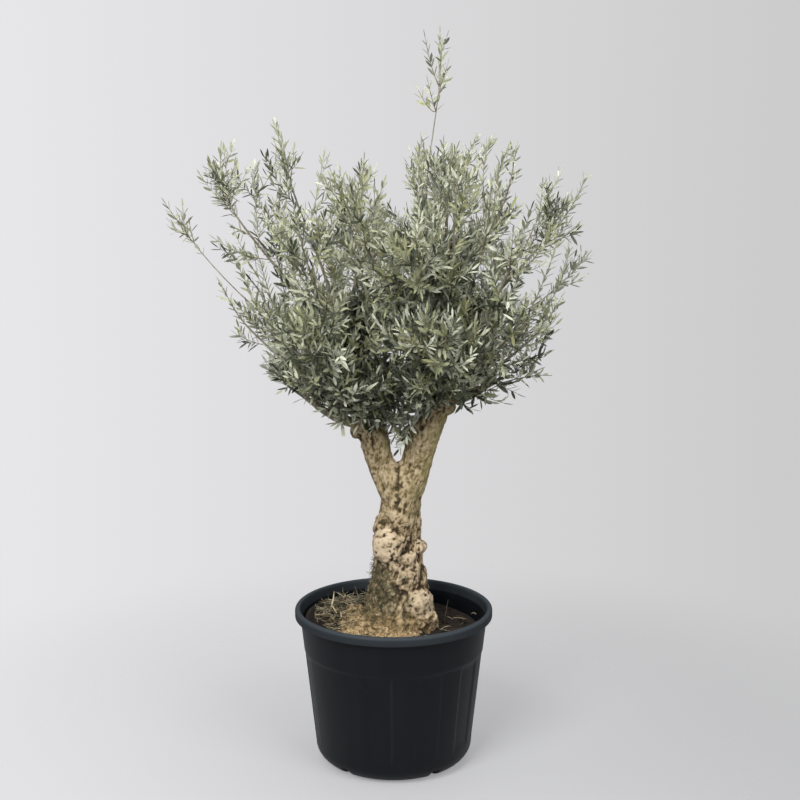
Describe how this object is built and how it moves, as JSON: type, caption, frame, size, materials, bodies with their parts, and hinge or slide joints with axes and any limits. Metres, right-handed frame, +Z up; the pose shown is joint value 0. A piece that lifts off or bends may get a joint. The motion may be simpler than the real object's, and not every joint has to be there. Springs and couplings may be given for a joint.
{
  "type": "potted olive tree",
  "caption": "Old gnarled olive tree with a forked trunk, pruned limbs and an open crown of narrow grey-green leaves, standing in a round black nursery container.",
  "frame": {"origin": "centre of the container's flat underside", "axes": "+Z up, +X to the right and -Y to the front, as the tree is seen from the front"},
  "size_m": [1.0945, 0.8698, 1.8196],
  "materials": {
    "container_plastic": "black moulded plastic, slightly satin",
    "root_ball_soil": "dry clay with straw litter and dark peat",
    "old_bark": "gnarled dry bark with pale burls",
    "young_bark": "smooth grey-brown bark",
    "foliage": "grey-green leaves, silvery underneath"
  },
  "bodies": {
    "root": {"bough_high_back": "young_bark", "bough_high_front": "young_bark", "bough_high_right": "young_bark", "bough_high_top": "young_bark", "bough_left": "young_bark", "bough_left_back": "young_bark", "bough_left_front": "young_bark", "bough_left_top": "young_bark", "bough_right": "young_bark", "bough_right_back": "young_bark", "bough_right_front": "young_bark", "crest_1": "foliage", "crest_2": "foliage", "crest_3": "foliage", "flank_1": "foliage", "flank_2": "foliage", "flank_3": "foliage", "flank_4": "foliage", "flank_5": "foliage", "flank_6": "foliage", "flank_7": "foliage", "heart_back": "foliage", "heart_front": "foliage", "heart_left": "foliage", "leader": "old_bark", "limb_left": "old_bark", "limb_right": "old_bark", "low_1": "foliage", "low_2": "foliage", "low_3": "foliage", "low_4": "foliage", "low_5": "foliage", "low_6": "foliage", "outlier_left": "foliage", "outlier_right": "foliage", "pot": "container_plastic", "shoulder_1": "foliage", "shoulder_2": "foliage", "shoulder_3": "foliage", "shoulder_4": "foliage", "shoulder_5": "foliage", "shoulder_6": "foliage", "shoulder_7": "foliage", "skirt_front": "foliage", "skirt_left": "foliage", "skirt_right": "foliage", "soil": "root_ball_soil", "spire": "foliage", "trunk": "old_bark", "upper_1": "foliage", "upper_2": "foliage", "upper_3": "foliage", "upper_4": "foliage", "upper_5": "foliage", "upper_6": "foliage"}
  },
  "joints": []
}
